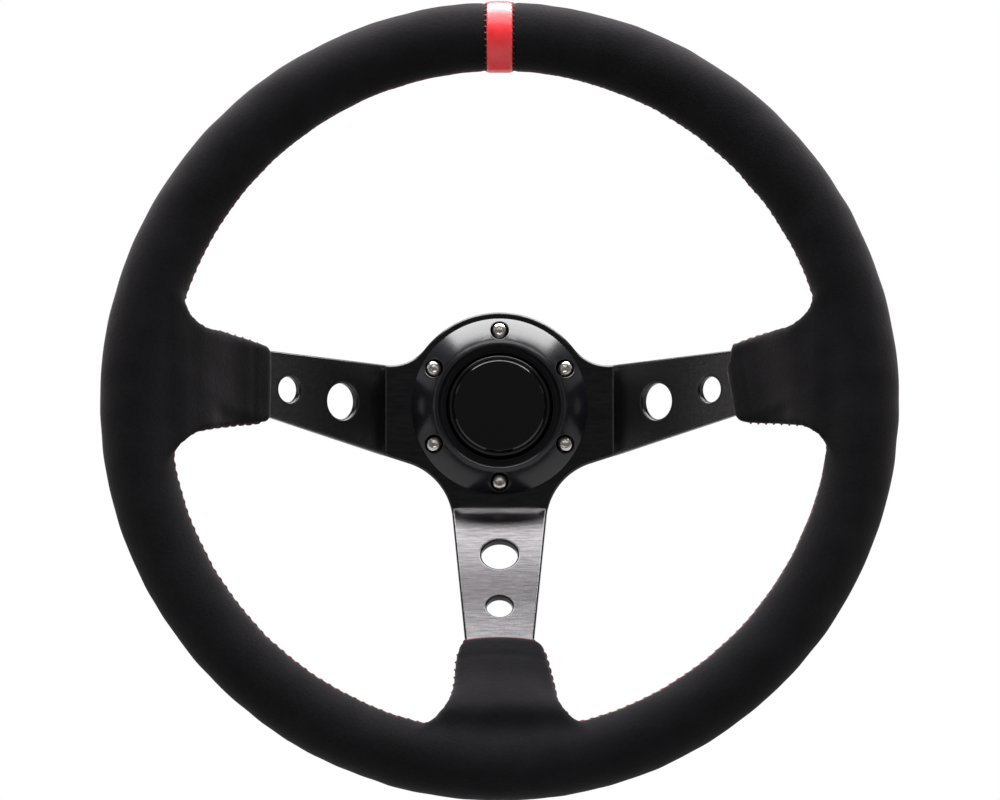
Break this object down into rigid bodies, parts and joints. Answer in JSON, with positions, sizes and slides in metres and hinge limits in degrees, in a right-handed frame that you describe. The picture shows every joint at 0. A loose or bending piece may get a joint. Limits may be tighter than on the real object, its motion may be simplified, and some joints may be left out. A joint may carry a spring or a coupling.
{
  "type": "quick release steering wheel",
  "caption": "Deep-dish three-spoke racing steering wheel in black suede, with a horn button and the wheel half of a ball-lock quick release coupling.",
  "frame": {"origin": "centre of the quick release coupling's mouth, on the wheel's axis", "axes": "wheel upright: +Z to the twelve o'clock mark, +X to the driver's right, +Y along the axis away from the driver, towards the steering column"},
  "size_m": [0.35, 0.1383, 0.3508],
  "materials": {
    "plate_black_anodised": "black anodised, brushed along the sheet",
    "ring_steel": "black painted steel tube",
    "rivet_aluminium": "plain set rivets",
    "grip_foam": "moulded polyurethane foam",
    "suede_black": "black suede, short mottled nap",
    "leather_red": "red smooth leather, satin",
    "thread_red": "waxed red polyester thread",
    "bezel_black_anodised": "turned, satin black anodised",
    "screw_nickel": "bright nickel plated socket screws",
    "housing_plastic": "moulded black nylon",
    "cap_plastic": "moulded black ABS, polished",
    "contact_brass": "stamped brass",
    "spring_steel": "bright spring wire",
    "coupling_black": "turned, hard black anodised",
    "collar_clear": "turned, clear anodised satin",
    "spline_steel": "broached steel",
    "ball_steel": "polished bearing steel"
  },
  "bodies": {
    "wheel": {"spoke_frame": "plate_black_anodised", "rim_ring": "ring_steel", "ring_lugs": "ring_steel", "spoke_rivets": "rivet_aluminium", "foam_grip": "grip_foam", "grip_cover_left": "suede_black", "grip_cover_right": "suede_black", "centre_marker": "leather_red", "rim_stitching": "thread_red", "sleeve_left": "suede_black", "sleeve_right": "suede_black", "sleeve_bottom": "suede_black", "horn_bezel": "bezel_black_anodised", "bezel_screws": "screw_nickel", "horn_housing": "housing_plastic", "horn_ring": "cap_plastic", "contact_stud": "contact_brass", "earth_terminal": "contact_brass", "horn_spring": "spring_steel", "coupling_body": "coupling_black", "spline_sleeve": "spline_steel", "collar_spring": "spring_steel", "snap_ring": "spring_steel"},
    "horn_button": {"horn_cap": "cap_plastic", "contact_disc": "contact_brass"},
    "collar": {"release_collar": "collar_clear"},
    "ball_1": {"lock_ball_1": "ball_steel"},
    "ball_2": {"lock_ball_2": "ball_steel"},
    "ball_3": {"lock_ball_3": "ball_steel"},
    "ball_4": {"lock_ball_4": "ball_steel"},
    "ball_5": {"lock_ball_5": "ball_steel"},
    "ball_6": {"lock_ball_6": "ball_steel"}
  },
  "joints": [
    {"name": "horn_press", "type": "slide", "parent": "wheel", "child": "horn_button", "axis": [0, 1, 0], "range_m": [0, 0.002], "stiffness_N_per_m": 2500, "springref_m": -0.003, "deforming": ["horn_spring"]},
    {"name": "collar_slide", "type": "slide", "parent": "wheel", "child": "collar", "axis": [0, -1, 0], "range_m": [0, 0.006], "stiffness_N_per_m": 1500, "springref_m": -0.01, "deforming": ["collar_spring"]},
    {"name": "ball_1_slide", "type": "slide", "parent": "wheel", "child": "ball_1", "axis": [1, 0, 0], "range_m": [0, 0.0015]},
    {"name": "ball_2_slide", "type": "slide", "parent": "wheel", "child": "ball_2", "axis": [0.5, 0, 0.866], "range_m": [0, 0.0015]},
    {"name": "ball_3_slide", "type": "slide", "parent": "wheel", "child": "ball_3", "axis": [-0.5, 0, 0.866], "range_m": [0, 0.0015]},
    {"name": "ball_4_slide", "type": "slide", "parent": "wheel", "child": "ball_4", "axis": [-1, 0, 0], "range_m": [0, 0.0015]},
    {"name": "ball_5_slide", "type": "slide", "parent": "wheel", "child": "ball_5", "axis": [-0.5, 0, -0.866], "range_m": [0, 0.0015]},
    {"name": "ball_6_slide", "type": "slide", "parent": "wheel", "child": "ball_6", "axis": [0.5, 0, -0.866], "range_m": [0, 0.0015]}
  ],
  "couplings": [
    {"joint": "ball_1_slide", "follows": "collar_slide", "ratio": 0.25},
    {"joint": "ball_2_slide", "follows": "collar_slide", "ratio": 0.25},
    {"joint": "ball_3_slide", "follows": "collar_slide", "ratio": 0.25},
    {"joint": "ball_4_slide", "follows": "collar_slide", "ratio": 0.25},
    {"joint": "ball_5_slide", "follows": "collar_slide", "ratio": 0.25},
    {"joint": "ball_6_slide", "follows": "collar_slide", "ratio": 0.25}
  ]
}
